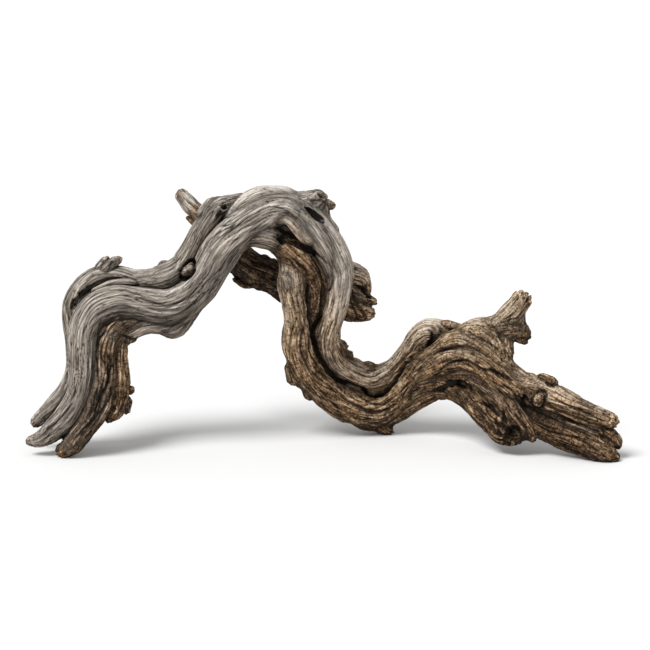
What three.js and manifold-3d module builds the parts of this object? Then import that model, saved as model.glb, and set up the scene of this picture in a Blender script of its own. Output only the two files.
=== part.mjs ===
// A piece of weathered driftwood: a gnarled vine root whose grown-together strands make an arched
// limb on the left, a twisted trunk that bends forward along the ground, and a clump of broken
// fingers on the right. It grew as one piece, so it is one solid.
// Millimetres, +X to the right, +Y to the back, +Z up, standing on the plane z = 0.
import * as THREE from "three";
import { mergeVertices } from "three/addons/utils/BufferGeometryUtils.js";
import Module from "manifold-3d";

// How finely each strand is cut into rings and sides.
const RING_STEP = 16;
const SLIM_SIDES = 8;
const STOUT_SIDES = 10;
const STOUT_RADIUS = 15;
const END_ROUNDING = [0.45, 0.85];
// The block of ground taken away under the wood, so that it stands on small flats.
const GROUND_SIZE = 800;
const WOOD_COLOUR = 0x7d6c5b;
const WOOD_ROUGHNESS = 0.9;

// Each strand is a list of stations [x, y, z, radius] along its middle.
const ARCHED_LIMB = {
  front_strand: [
    [-291, -44, 15, 5], [-281, -44, 17, 8.5], [-268, -43, 26, 11.5], [-253, -41, 41, 13],
    [-243, -40, 59, 13], [-238, -39, 81, 14], [-237, -37, 106, 15], [-235, -33, 128, 16],
    [-225, -28, 144, 17], [-206, -23, 151, 17], [-182, -19, 148, 17.5], [-157, -17, 145, 18],
    [-136, -15, 153, 18], [-119, -13, 171, 17.5], [-101, -11, 202, 19], [-84, -8, 220, 18],
    [-68, -5, 232, 18], [-53, -3, 240, 17.5], [-37, -2, 242, 16], [-24, -1, 234, 14],
    [-14, 0, 221, 12], [-6, 2, 211, 8.5],
  ],
  upper_strand: [
    [-287, -23, 30, 6.5], [-280, -21, 35, 8.5], [-268, -19, 46, 10.5], [-256, -17, 61, 9.5],
    [-249, -14, 80, 9], [-248, -11, 106, 9.5], [-249, -9, 129, 11], [-248, -7, 147, 12],
    [-240, -5, 162, 11.5], [-226, -3, 173, 11], [-208, -2, 174, 11], [-188, -2, 169, 11.5],
    [-169, -3, 169, 13.5], [-154, -2, 173, 16], [-139, 2, 184, 14.5], [-129, 3, 200, 13.5],
    [-122, 4, 215, 12.5], [-114, 5, 229, 12], [-104, 6, 241, 11.5], [-91, 7, 247, 8],
    [-80, 9, 250, 6.5], [-71, 11, 251, 5],
  ],
  rear_strand: [
    [-218, -17, 40, 9], [-218, -14, 60, 15], [-220, -11, 85, 16], [-222, -7, 112, 18],
    [-212, -3, 131, 18], [-189, 3, 144, 16], [-164, 7, 148, 15], [-139, 9, 163, 14],
    [-118, 11, 186, 15], [-98, 13, 208, 16], [-73, 16, 228, 20], [-48, 19, 233, 24],
    [-25, 23, 221, 24], [-8, 27, 201, 22],
  ],
  under_strand: [
    [-209, -23, 107, 7], [-203, -22, 116, 10.5], [-192, -21, 123, 11], [-177, -19, 130, 11.5],
    [-160, -17, 130, 12], [-145, -16, 133, 11.5], [-133, -15, 143, 10.5], [-122, -13, 157, 8.5],
  ],
  notch_stub: [
    [-117, 5, 235, 9], [-111, 6, 245, 7], [-106, 7, 249, 4.5],
  ],
  long_twig: [
    [-226, -3, 178, 6], [-218, -3, 189, 4.5], [-215, -3, 192, 2.5],
  ],
  short_twig: [
    [-216, -5, 181, 7], [-208, -5, 189, 5.5], [-204, -5, 191, 4],
  ],
  underside: [
    [-94, -7, 201, 6], [-84, -8, 211, 9], [-72, -8, 217, 12], [-61, -6, 217, 14],
    [-50, -2, 211, 12.5], [-42, 2, 202, 10], [-35, 5, 192, 8],
  ],
  shoulder: [
    [-39, 2, 244, 11], [-25, -2, 238, 13], [-13, -2, 226, 12.5], [-3, -1, 211, 12.5],
    [5, 1, 197, 12.5], [11, 4, 181, 12],
  ],
};
const LEG = {
  brown_strand: [
    [-257, -49, 7, 8], [-249, -49, 13, 10], [-238, -48, 27, 11], [-227, -46, 42, 12],
    [-221, -42, 60, 13], [-218, -38, 81, 13], [-218, -34, 104, 13], [-213, -30, 120, 13],
    [-202, -25, 132, 12], [-186, -21, 137, 10],
  ],
  right_strand: [
    [-213, -35, 36, 5], [-208, -34, 46, 10], [-206, -32, 62, 12.5], [-206, -29, 80, 12.5],
    [-207, -26, 98, 12], [-205, -24, 110, 11], [-200, -21, 119, 8],
  ],
};
const TRUNK = {
  core: [
    [-23, 19, 202, 20], [-11, 23, 184, 24], [-6, 26, 160, 24.5], [-8, 28, 133, 22.5],
    [-12, 32, 106, 19.5], [-6, 37, 79, 18.5], [12, 41, 55, 17.5], [33, 45, 41, 16.5],
    [54, 47, 36, 16.5], [71, 45, 47, 15.5], [85, 40, 65, 14.5], [101, 33, 80, 14.5],
    [119, 23, 80, 16.5], [139, 11, 79, 18.5], [158, -1, 75, 20], [178, -13, 66, 18],
    [193, -23, 56, 15],
  ],
  right_strand: [
    [-96, 0, 222, 8], [-82, 1, 237, 12.5], [-66, 3, 247, 15], [-51, 5, 250, 14], [-36, 6, 247, 14],
    [-22, 6, 239, 14], [-9, 5, 227, 14], [3, 4, 212, 14], [12, 4, 194, 14.5], [17, 4, 176, 13.5],
    [15, 5, 154, 12.5], [9, 8, 132, 12.5], [3, 15, 110, 13.5], [7, 24, 89, 15], [18, 32, 74, 14.5],
    [33, 38, 64, 14.5], [48, 42, 58, 14], [63, 44, 62, 13], [77, 43, 71, 11.5], [89, 41, 87, 11.5],
    [98, 38, 100, 12.5], [109, 35, 108, 14], [121, 32, 107, 14],
  ],
  left_strand: [
    [-43, 17, 199, 6], [-37, 9, 191, 9], [-32, 2, 183, 12], [-30, -2, 170, 13.5],
    [-30, -2, 156, 13], [-29, 1, 139, 13.5], [-27, 5, 123, 14.5], [-25, 10, 103, 16],
    [-19, 16, 83, 17], [-6, 23, 61, 17], [10, 30, 43, 17.5], [32, 35, 30, 17.5], [55, 39, 27, 17.5],
    [74, 39, 37, 16.5], [89, 35, 55, 15.5], [102, 28, 73, 14.5], [117, 20, 88, 13.5],
    [130, 11, 102, 12.5], [142, 3, 108, 12], [156, -5, 103, 12], [169, -13, 95, 11.5],
    [181, -20, 84, 10],
  ],
  outer_strand: [
    [-22, 25, 61, 9], [-3, 29, 51, 9.5], [15, 34, 39, 10.5], [30, 37, 26, 11.5], [42, 40, 16, 11],
    [59, 43, 13, 11], [73, 42, 21, 10.5], [90, 37, 33, 10.5], [104, 31, 43, 10], [119, 21, 52, 10],
    [133, 10, 54, 11], [145, -1, 49, 11], [156, -10, 41, 10], [166, -17, 33, 7],
  ],
  bend_fill: [
    [79, 41, 40, 13.5], [99, 31, 55, 13.5], [119, 19, 64, 14.5], [137, 7, 64, 15],
  ],
  crown_stub: [
    [-31, 5, 246, 12], [-15, 8, 247, 11.5], [-6, 9, 251, 9.5], [-1, 9, 252, 5.5],
  ],
  crown_shelf: [
    [-15, 9, 241, 10], [-2, 10, 244, 8], [8, 10, 243, 4.5],
  ],
  rear_stub_top: [
    [15, 19, 174, 14], [25, 29, 171, 12], [35, 35, 166, 11.5], [41, 38, 158, 8.5],
    [44, 39, 150, 5.5],
  ],
  rear_stub_bottom: [
    [11, 25, 144, 15], [22, 31, 137, 15], [33, 36, 133, 13.5], [41, 38, 130, 10], [44, 39, 129, 8],
  ],
  under_arch: [
    [-55, 9, 209, 9], [-45, 2, 208, 12], [-34, -1, 201, 13], [-22, 0, 191, 12.5], [-12, 3, 178, 12],
    [-7, 5, 165, 12], [-6, 7, 150, 11], [-8, 11, 131, 10], [-10, 18, 111, 8],
  ],
};
const REAR_BRANCH = {
  branch: [
    [-127, 60, 229, 8], [-117, 57, 220, 9.5], [-105, 53, 206, 12.5], [-88, 47, 185, 16.5],
    [-70, 41, 172, 17], [-54, 36, 167, 17], [-36, 30, 160, 17.5], [-17, 27, 153, 18.5],
  ],
  tip: [
    [-144, 65, 245, 7], [-137, 63, 237, 8], [-129, 60, 230, 8.5], [-119, 57, 221, 9.5],
    [-112, 55, 214, 9],
  ],
};
const FINGERS = {
  top_lump: [
    [141, 6, 115, 8], [152, 1, 117, 12.5], [165, -3, 116, 16], [175, -8, 108, 15],
    [179, -13, 99, 12],
  ],
  upright_stub: [
    [166, -4, 114, 14], [177, -7, 125, 12], [186, -10, 136, 11.5], [193, -12, 144, 11],
    [197, -13, 150, 10.5],
  ],
  side_lump: [
    [179, -7, 120, 13], [191, -7, 120, 12], [201, -8, 118, 8.5],
  ],
  top_finger: [
    [131, 11, 83, 10], [146, 0, 95, 15], [162, -7, 89, 16.5], [178, -17, 80, 15],
    [197, -25, 69, 13.5], [214, -32, 64, 14], [232, -39, 57, 12.5], [250, -46, 50, 11],
    [269, -53, 44, 9], [283, -58, 40, 8],
  ],
  middle_finger: [
    [251, -41, 31, 8], [267, -47, 29, 9], [281, -52, 24, 9], [289, -55, 18, 7], [292, -56, 14, 4],
  ],
  low_finger: [
    [178, -19, 56, 16], [199, -29, 45, 15], [219, -39, 32, 15], [239, -47, 24, 14.5],
    [259, -54, 17, 14], [275, -60, 10, 12.5], [287, -64, 4, 6],
  ],
  web: [
    [182, -23, 60, 12], [206, -35, 53, 11], [231, -44, 43, 9], [255, -51, 35, 8], [272, -55, 30, 6],
  ],
  ridge: [
    [115, 19, 66, 7], [129, 5, 70, 9], [141, -6, 74, 10], [154, -14, 73, 10.5], [166, -21, 67, 11],
    [179, -29, 58, 11.5], [189, -36, 48, 11.5], [198, -41, 36, 10.5], [206, -44, 24, 8.5],
    [208, -44, 19, 5],
  ],
  front_lobe: [
    [129, 19, 60, 6], [141, 6, 57, 9.5], [151, -6, 51, 13.5], [161, -16, 42, 15.5],
    [170, -24, 34, 15.5], [181, -33, 26, 15.5], [188, -40, 22, 13], [192, -46, 22, 9],
  ],
  branch_web: [
    [195, -12, 145, 8], [195, -10, 134, 8], [194, -8, 122, 9],
  ],
};
// Round swellings and knots, [x, y, z, radius].
const BUMPS = {
  belly: [-150, -17, 124, 11],
  armpit: [-193, -20, 118, 8],
  leg_nub: [-197, -26, 52, 8],
  bend_left: [-33, 21, 69, 7.5],
  bend_lower: [-14, 27, 49, 9.5],
  heel: [63, 46, 6, 9],
  finger_knot: [213, -40, 58, 11],
  finger_hump: [225, -33, 73, 7.5],
};
// Open furrows between strands, cut last.
const FURROWS = {
  between_trunk_strands: [
    [-6, -7, 155, 5], [-6, -3, 131, 7], [-10, 3, 108, 6], [-5, 13, 87, 5], [11, 22, 68, 4.5],
    [32, 28, 56, 4.5], [50, 32, 48, 5], [66, 34, 52, 6], [78, 33, 68, 6], [88, 29, 84, 5],
  ],
};

const wasm = await Module();
wasm.setup();

// The radius of a strand where its curve has run through the share t of its stations.
function radiusAt(stations, t) {
  const place = t * (stations.length - 1);
  const before = Math.min(Math.floor(place), stations.length - 2);
  return THREE.MathUtils.lerp(stations[before][3], stations[before + 1][3], place - before);
}

// The rings of a strand, each {centre, radius, normal, binormal}, with a rounded start and end.
function ringsAlong(stations) {
  const middle = new THREE.CatmullRomCurve3(
    stations.map(([x, y, z]) => new THREE.Vector3(x, y, z)),
  );
  const steps = Math.max(2, Math.round(middle.getLength() / RING_STEP));
  const { tangents, normals, binormals } = middle.computeFrenetFrames(steps);
  const rings = [];
  const addRing = (i, radius, ahead) => {
    const centre = middle.getPointAt(i / steps).addScaledVector(tangents[i], ahead);
    rings.push({ centre, radius, normal: normals[i], binormal: binormals[i] });
  };
  const endRadius = (i) => radiusAt(stations, i / steps);
  for (const share of [...END_ROUNDING].reverse())
    addRing(0, endRadius(0) * Math.sqrt(1 - share * share), -share * endRadius(0));
  for (let i = 0; i <= steps; i += 1)
    addRing(i, radiusAt(stations, middle.getUtoTmapping(i / steps)), 0);
  for (const share of END_ROUNDING)
    addRing(steps, endRadius(steps) * Math.sqrt(1 - share * share), share * endRadius(steps));
  return rings;
}

// A closed skin over the rings, capped with a fan at each end.
function skinOver(rings, sides) {
  const positions = [];
  for (const { centre, radius, normal, binormal } of rings)
    for (let side = 0; side < sides; side += 1) {
      const angle = (side / sides) * Math.PI * 2;
      const point = centre
        .clone()
        .addScaledVector(normal, radius * Math.cos(angle))
        .addScaledVector(binormal, radius * Math.sin(angle));
      positions.push(...point);
    }
  const startPole = positions.length / 3;
  positions.push(...rings[0].centre, ...rings[rings.length - 1].centre);
  const index = [];
  for (let side = 0; side < sides; side += 1) {
    const next = (side + 1) % sides;
    for (let ring = 0; ring < rings.length - 1; ring += 1) {
      const here = ring * sides;
      const above = here + sides;
      index.push(here + side, here + next, above + next);
      index.push(here + side, above + next, above + side);
    }
    const last = (rings.length - 1) * sides;
    index.push(startPole, next, side);
    index.push(startPole + 1, last + side, last + next);
  }
  const skin = new THREE.BufferGeometry();
  skin.setAttribute("position", new THREE.Float32BufferAttribute(positions, 3));
  skin.setIndex(index);
  return skin;
}

function strandGeometry(stations) {
  const widest = Math.max(...stations.map((station) => station[3]));
  return skinOver(ringsAlong(stations), widest >= STOUT_RADIUS ? STOUT_SIDES : SLIM_SIDES);
}

function bumpGeometry([x, y, z, radius]) {
  return new THREE.IcosahedronGeometry(radius, 1).translate(x, y, z);
}

function groundGeometry() {
  const block = new THREE.BoxGeometry(GROUND_SIZE, GROUND_SIZE, GROUND_SIZE);
  return block.translate(0, 0, -GROUND_SIZE / 2);
}

function toSolid(geometry) {
  geometry.deleteAttribute("normal");
  geometry.deleteAttribute("uv");
  const merged = mergeVertices(geometry);
  const mesh = new wasm.Mesh({
    numProp: 3,
    vertProperties: merged.attributes.position.array,
    triVerts: new Uint32Array(merged.index.array),
  });
  return new wasm.Manifold(mesh);
}

function toGeometry(solid) {
  const { vertProperties, triVerts } = solid.getMesh();
  const geometry = new THREE.BufferGeometry();
  geometry.setAttribute("position", new THREE.BufferAttribute(vertProperties, 3));
  geometry.setIndex(new THREE.BufferAttribute(triVerts, 1));
  geometry.computeVertexNormals();
  return geometry;
}

// The solid with its outer skin alone: voids closed in between the strands are filled with wood.
function filled(solid) {
  return solid.decompose().reduce((a, b) => (b.volume() > a.volume() ? b : a));
}

function driftwoodSolid() {
  let wood = toSolid(strandGeometry(TRUNK.core));
  for (const region of [ARCHED_LIMB, LEG, TRUNK, REAR_BRANCH, FINGERS])
    for (const stations of Object.values(region))
      wood = wood.add(toSolid(strandGeometry(stations)));
  for (const bump of Object.values(BUMPS)) wood = wood.add(toSolid(bumpGeometry(bump)));
  for (const stations of Object.values(FURROWS))
    wood = wood.subtract(toSolid(strandGeometry(stations)));
  return filled(wood.subtract(toSolid(groundGeometry())));
}

const driftwood = new THREE.Mesh(
  toGeometry(driftwoodSolid()),
  new THREE.MeshStandardMaterial({
    color: WOOD_COLOUR,
    roughness: WOOD_ROUGHNESS,
    metalness: 0,
  }),
);
driftwood.name = "driftwood";

const part = new THREE.Group();
part.add(driftwood);
export default part;
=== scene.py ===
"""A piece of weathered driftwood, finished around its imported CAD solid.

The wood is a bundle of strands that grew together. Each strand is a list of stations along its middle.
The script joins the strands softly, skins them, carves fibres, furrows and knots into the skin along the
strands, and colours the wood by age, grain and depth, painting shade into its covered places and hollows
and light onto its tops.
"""

import math
from collections import namedtuple

import bpy
import numpy as np
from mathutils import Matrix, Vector

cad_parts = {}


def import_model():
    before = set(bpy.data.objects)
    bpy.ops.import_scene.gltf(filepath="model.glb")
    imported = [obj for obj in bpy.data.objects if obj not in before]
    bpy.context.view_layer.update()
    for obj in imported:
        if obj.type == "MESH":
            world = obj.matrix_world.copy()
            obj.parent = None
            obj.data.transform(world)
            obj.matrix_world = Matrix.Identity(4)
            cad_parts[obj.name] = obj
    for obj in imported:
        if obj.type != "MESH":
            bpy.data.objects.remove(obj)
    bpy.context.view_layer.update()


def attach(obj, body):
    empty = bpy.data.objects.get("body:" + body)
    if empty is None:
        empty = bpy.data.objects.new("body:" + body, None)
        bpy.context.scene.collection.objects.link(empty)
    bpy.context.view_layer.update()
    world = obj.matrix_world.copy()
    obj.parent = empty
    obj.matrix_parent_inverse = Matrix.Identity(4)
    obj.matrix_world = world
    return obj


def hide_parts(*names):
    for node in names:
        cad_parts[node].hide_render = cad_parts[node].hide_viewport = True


MM = 0.001

# Each strand: how softly it joins, how brown, how pale, then (x, y, z, radius) at its stations; a brown
# value past 1 darkens the wood towards the darkest ramp, which is painted shade on the rear branch and
# under the arch.
# They are joined in this order, the inner ones first.
STRANDS = {
    "core": (5, 0.7, 0.05, (-23, 19, 202, 20), (-11, 23, 184, 24), (-6, 26, 160, 24.5), (-8, 28, 133, 22.5),
        (-12, 32, 106, 19.5), (-6, 37, 79, 18.5), (12, 41, 55, 17.5), (33, 45, 41, 16.5),
        (54, 47, 36, 16.5), (71, 45, 47, 15.5), (85, 40, 65, 14.5), (101, 33, 80, 14.5),
        (119, 23, 80, 16.5), (139, 11, 79, 18.5), (158, -1, 75, 20), (178, -13, 66, 18),
        (193, -23, 56, 15)),
    "bend_fill": (4, 0.6, 0, (79, 41, 40, 13.5), (99, 31, 55, 13.5), (119, 19, 64, 14.5), (137, 7, 64, 15)),
    "rear_strand": (5, 0.4, 0, (-218, -17, 40, 9), (-218, -14, 60, 15), (-220, -11, 85, 16),
        (-222, -7, 112, 18), (-212, -3, 131, 18), (-189, 3, 144, 16), (-164, 7, 148, 15),
        (-139, 9, 163, 14), (-118, 11, 186, 15), (-98, 13, 208, 16), (-73, 16, 228, 20), (-48, 19, 233, 24),
        (-25, 23, 221, 24), (-8, 27, 201, 22)),
    "finger_web": (2.5, 0.6, -0.1, (182, -23, 60, 12), (206, -35, 53, 11), (231, -44, 43, 9),
        (255, -51, 35, 8), (272, -55, 30, 6)),
    "shoulder": (6, 0.5, 0, (109, 21, 70, 12), (126, 7, 84, 15), (144, -3, 90, 16), (162, -12, 84, 17),
        (177, -22, 72, 16.5), (191, -30, 60, 15)),
    "front_strand": (3, 0.03, 0, (-291, -44, 15, 5), (-281, -44, 17, 8.5), (-268, -43, 26, 11.5),
        (-253, -41, 41, 13), (-243, -40, 59, 13), (-238, -39, 81, 14), (-237, -37, 106, 15),
        (-235, -33, 128, 16), (-225, -28, 144, 17), (-206, -23, 151, 17), (-182, -19, 148, 17.5),
        (-157, -17, 145, 18), (-136, -15, 153, 18), (-119, -13, 171, 17.5), (-101, -11, 202, 19),
        (-84, -8, 220, 18), (-68, -5, 232, 18), (-53, -3, 240, 17.5), (-37, -2, 242, 16),
        (-24, -1, 234, 14), (-14, 0, 221, 12), (-6, 2, 211, 8.5)),
    "upper_strand": (2, 0.05, -0.04, (-287, -23, 30, 6.5), (-280, -21, 35, 8.5), (-268, -19, 46, 10.5),
        (-256, -17, 61, 9.5), (-249, -14, 80, 9), (-248, -11, 106, 9.5), (-249, -9, 129, 11),
        (-248, -7, 147, 12), (-240, -5, 162, 11.5), (-226, -3, 173, 11), (-208, -2, 174, 11),
        (-188, -2, 169, 11.5), (-169, -3, 169, 13.5), (-154, -2, 173, 16), (-139, 2, 184, 14.5),
        (-129, 3, 200, 13.5), (-122, 4, 215, 12.5), (-114, 5, 229, 12), (-104, 6, 241, 11.5),
        (-91, 7, 247, 8), (-80, 9, 250, 6.5), (-71, 11, 251, 5)),
    "leg_brown_strand": (4, 0.75, -0.15, (-257, -49, 7, 8), (-249, -49, 13, 10), (-238, -48, 27, 11),
        (-227, -46, 42, 12), (-221, -42, 60, 13), (-218, -38, 81, 13), (-218, -34, 104, 13),
        (-213, -30, 120, 13), (-202, -25, 132, 12), (-186, -21, 137, 10)),
    "leg_right_strand": (4, 0.95, -0.08, (-213, -35, 36, 5), (-208, -34, 46, 10), (-206, -32, 62, 12.5),
        (-206, -29, 80, 12.5), (-207, -26, 98, 12), (-205, -24, 110, 11), (-200, -21, 119, 8)),
    "limb_underside": (6, 0.28, 0, (-209, -23, 107, 7), (-203, -22, 116, 10.5), (-192, -21, 123, 11),
        (-177, -19, 130, 11.5), (-160, -17, 130, 12), (-145, -16, 133, 11.5), (-133, -15, 143, 10.5),
        (-122, -13, 157, 8.5)),
    "leg_top_knot": (3, 0.1, 0.15, (-214, -37, 122, 5), (-210, -38, 120, 5)),
    "belly": (5, 0.2, 0, (-165, -17, 126, 7), (-150, -17, 124, 10.5), (-139, -16, 132, 9.5),
        (-131, -15, 143, 6)),
    "armpit": (4, 0.5, 0, (-200, -21, 119, 8), (-191, -20, 116, 6.5)),
    "leg_nub_a": (3, 0.7, 0, (-201, -28, 64, 6), (-193, -27, 63, 4.5)),
    "leg_nub_b": (3, 0.7, 0, (-197, -26, 50, 6.5), (-197, -25, 42, 4.5)),
    "twig_a": (2, 0.15, 0, (-226, -3, 178, 6), (-218, -3, 189, 4.5), (-215, -3, 192, 2.5)),
    "twig_b": (2, 0.15, 0, (-216, -5, 181, 7), (-208, -5, 189, 5.5), (-204, -5, 191, 4)),
    "bend_bump": (3, 0.2, 0, (-159, 3, 183, 7)),
    "groove_knot": (4.5, 0.08, 0, (-133, -15, 180, 7.5), (-129, -16, 183, 7.5)),
    "notch_stub": (4, 0.2, 0, (-117, 5, 235, 9), (-111, 6, 245, 7), (-106, 7, 249, 4.5)),
    "sliver": (1.2, 0, 0.05, (-225, -17, 161, 5), (-210, -14, 168, 4.5), (-194, -12, 170, 4),
        (-179, -9, 167, 4), (-165, -7, 163, 4)),
    # The rear branch, its rim and its bump are brown past 1: painted shade, for they lie in shade under the
    # arch.
    "rear_branch": (4, 1.7, -0.05, (-127, 60, 229, 8), (-117, 57, 220, 9.5), (-105, 53, 206, 12.5),
        (-88, 47, 185, 16.5), (-70, 41, 172, 17), (-54, 36, 167, 17), (-36, 30, 160, 17.5),
        (-17, 27, 153, 18.5)),
    "rear_tip": (4, 0.1, -0.04, (-144, 65, 245, 7), (-137, 63, 237, 8), (-129, 60, 230, 8.5),
        (-119, 57, 221, 9.5), (-112, 55, 214, 9)),
    "rear_rim": (1.5, 1.4, 0, (-89, 39, 163, 3), (-79, 38, 158, 4), (-66, 36, 158, 4), (-54, 33, 153, 4.5),
        (-42, 31, 145, 5)),
    "rear_bump": (4, 1.7, 0, (-60, 39, 184, 5)),
    "rear_splinter": (1.5, 1, 0, (-138, 62, 222, 2.5), (-129, 59, 216, 4), (-120, 57, 209, 4)),
    "crown_stub": (3, 0.15, 0, (-31, 5, 246, 12), (-15, 8, 247, 11.5), (-6, 9, 251, 9.5),
        (-1, 9, 252, 5.5)),
    "crown_stub_low": (2, 0.3, 0, (-15, 9, 241, 10), (-2, 10, 244, 8), (8, 10, 243, 4.5)),
    "crown_rim": (2, 0.3, 0, (2, 9, 243, 6), (3, 7, 232, 5), (9, 6, 219, 7)),
    "right_strand": (3.5, 0.15, 0.2, (-96, 0, 222, 8), (-82, 1, 237, 12.5), (-66, 3, 247, 15),
        (-51, 5, 250, 14), (-36, 6, 247, 14), (-22, 6, 239, 14), (-9, 5, 227, 14), (3, 4, 212, 14),
        (12, 4, 194, 14.5), (17, 4, 176, 13.5), (15, 5, 154, 12.5), (9, 8, 132, 12.5), (3, 15, 110, 13.5),
        (7, 24, 89, 15), (18, 32, 74, 14.5), (33, 38, 64, 14.5), (48, 42, 58, 14), (63, 44, 62, 13),
        (77, 43, 71, 11.5), (89, 41, 87, 11.5), (98, 38, 100, 12.5), (109, 35, 108, 14),
        (121, 32, 107, 14)),
    # The strand under the arch is brown past 1: painted shade below the lip.
    "under_arch": (5, 1.08, 0.02, (-55, 9, 209, 9), (-45, 2, 208, 12), (-34, -1, 201, 13),
        (-22, 0, 191, 12.5), (-12, 3, 178, 12), (-7, 5, 165, 12), (-6, 7, 150, 11), (-8, 11, 131, 10),
        (-10, 18, 111, 8)),
    "arch_underside": (6, 0.22, 0, (-94, -7, 201, 6), (-84, -8, 211, 9), (-72, -8, 217, 12),
        (-61, -6, 217, 14), (-50, -2, 211, 12.5), (-42, 2, 202, 10), (-35, 5, 192, 8)),
    "left_strand": (8, 0.5, 0.1, (-44, 19, 201, 5), (-38, 11, 192, 8), (-32, 3, 182, 11.5),
        (-31, -2, 170, 13.5), (-30, -2, 156, 12.5), (-27, 1, 139, 12.5), (-26, 5, 123, 14),
        (-26, 10, 103, 16), (-19, 16, 83, 17), (-6, 23, 61, 17), (10, 30, 43, 17.5), (32, 35, 30, 17.5),
        (55, 39, 27, 17.5), (74, 39, 37, 16.5), (89, 35, 55, 15.5), (102, 28, 73, 14.5),
        (117, 20, 88, 13.5), (130, 11, 102, 12.5), (142, 3, 108, 12), (156, -5, 103, 12),
        (169, -13, 95, 11.5), (181, -20, 84, 10)),
    "trunk_knot": (5, 0.2, 0.25, (-35, -10, 173, 6), (-33, -10, 166, 6)),
    "outer_strand": (4, 0.45, 0.03, (-22, 25, 61, 9), (-3, 29, 51, 9.5), (15, 34, 39, 10.5),
        (30, 37, 26, 11.5), (42, 40, 16, 11), (59, 43, 13, 11), (73, 42, 21, 10.5), (90, 37, 33, 10.5),
        (104, 31, 43, 10), (119, 21, 52, 10), (133, 10, 54, 11), (145, -1, 49, 11), (156, -10, 41, 10),
        (166, -17, 33, 7)),
    "bend_bump_a": (8, 0.4, 0, (-33, 16, 75, 6), (-30, 19, 65, 7.5)),
    "bend_bump_b": (5, 0.4, 0, (-15, 25, 55, 8), (-12, 27, 48, 9)),
    "heel": (5, 0.5, -0.1, (59, 39, 11, 8.5), (65, 40, 6, 8)),
    "inner_bump_a": (6, 0.5, 0.05, (16, 25, 96, 8)),
    "inner_bump_b": (6, 0.5, 0.05, (46, 43, 69, 7.5)),
    "inner_bump_c": (6, 0.3, 0.1, (24, 31, 85, 6)),
    "low_bump": (5, 0.6, -0.1, (122, 19, 46, 5)),
    "lip": (5, 0.5, 0.05, (-44, -13, 232, 3.5), (-36, -15, 234, 4.5), (-29, -15, 228, 5),
        (-23, -13, 220, 5.5), (-16, -10, 213, 5.5), (-8, -6, 211, 5), (-2, -2, 214, 4)),
    "arch_shoulder": (5, 0.05, 0.15, (-39, 2, 244, 11), (-25, -2, 238, 13), (-13, -2, 226, 12.5),
        (-3, -1, 211, 12.5), (5, 1, 197, 12.5), (11, 4, 181, 12)),
    "right_top": (7, 0.4, 0.25, (141, 6, 115, 8), (152, 1, 117, 12.5), (165, -3, 116, 16),
        (175, -8, 108, 15), (179, -13, 99, 12)),
    "up_branch": (7, 0.35, 0.2, (166, -4, 114, 14), (177, -7, 125, 12), (186, -10, 136, 11.5),
        (193, -12, 144, 11), (197, -13, 150, 10.5)),
    "branch_web": (4, 0.35, 0.2, (195, -12, 145, 8), (195, -10, 134, 8), (194, -8, 122, 9)),
    "right_lobe": (5, 0.4, 0.05, (173, -6, 120, 13), (186, -8, 122, 13), (196, -8, 122, 9.5),
        (203, -8, 117, 6)),
    "lobe_nub_a": (3, 0.5, 0, (201, -8, 120, 5), (205, -8, 114, 4)),
    "lobe_nub_b": (3, 0.5, 0, (195, -8, 113, 6), (202, -8, 109, 4)),
    "top_finger": (6, 0.35, 0.15, (131, 11, 83, 10), (146, 0, 95, 15), (162, -7, 89, 16.5),
        (178, -17, 80, 15), (197, -25, 69, 13.5), (214, -32, 64, 14), (232, -39, 57, 12.5),
        (250, -46, 50, 11), (269, -53, 44, 9), (283, -58, 40, 8)),
    "finger_knot": (4, 0.7, 0.03, (214, -35, 55, 12), (213, -44, 57, 9)),
    "knot_heart": (2, 0.35, 0.2, (212, -47, 61, 5), (212, -52, 60, 4)),
    "finger_bump_a": (4, 0.6, 0, (219, -31, 75, 6), (227, -35, 72, 6.5)),
    "finger_bump_b": (4, 0.4, 0.05, (256, -49, 54, 5), (264, -53, 50, 5.5)),
    "mid_splinter": (1.5, 0.3, 0.05, (221, -43, 40, 5), (237, -49, 37, 6), (254, -54, 33, 6),
        (272, -59, 28, 5)),
    "mid_finger": (2, 0.5, 0, (251, -41, 31, 8), (267, -47, 29, 9), (281, -52, 24, 9), (289, -55, 18, 7),
        (292, -56, 14, 4)),
    "low_finger": (3, 0.6, -0.18, (178, -19, 56, 16), (199, -29, 45, 15), (219, -39, 32, 15),
        (239, -47, 24, 14.5), (259, -54, 17, 14), (275, -60, 10, 12.5), (287, -64, 4, 6)),
    "ridge": (4, 0.4, -0.02, (115, 19, 66, 7), (129, 5, 70, 9), (141, -6, 74, 10), (154, -14, 73, 10.5),
        (166, -21, 67, 11), (179, -29, 58, 11.5), (189, -36, 48, 11.5), (198, -41, 36, 10.5),
        (206, -44, 24, 8.5), (208, -44, 19, 5)),
    "front_lobe": (8, 0.6, -0.18, (129, 19, 60, 6), (141, 6, 57, 9.5), (151, -6, 51, 13.5),
        (161, -16, 42, 15.5), (170, -24, 34, 15.5), (181, -33, 26, 15.5), (188, -40, 22, 13),
        (192, -46, 22, 9)),
    "cavity_ridge": (2, 0.5, 0, (126, 27, 117, 6), (137, 23, 117, 4)),
    "rear_stub_up": (4, 0.4, 0.12, (15, 19, 174, 14), (25, 29, 171, 12), (35, 35, 166, 11.5),
        (41, 38, 158, 8.5), (44, 39, 150, 5.5)),
    "rear_stub_mid": (3, 0.5, 0.05, (22, 29, 152, 13), (35, 35, 146, 10), (43, 38, 143, 7),
        (51, 39, 140, 4.5)),
    "rear_stub_low": (4, 0.5, 0.05, (11, 25, 144, 15), (22, 31, 137, 15), (33, 36, 133, 13.5),
        (41, 38, 130, 10), (44, 39, 129, 8)),
}

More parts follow.
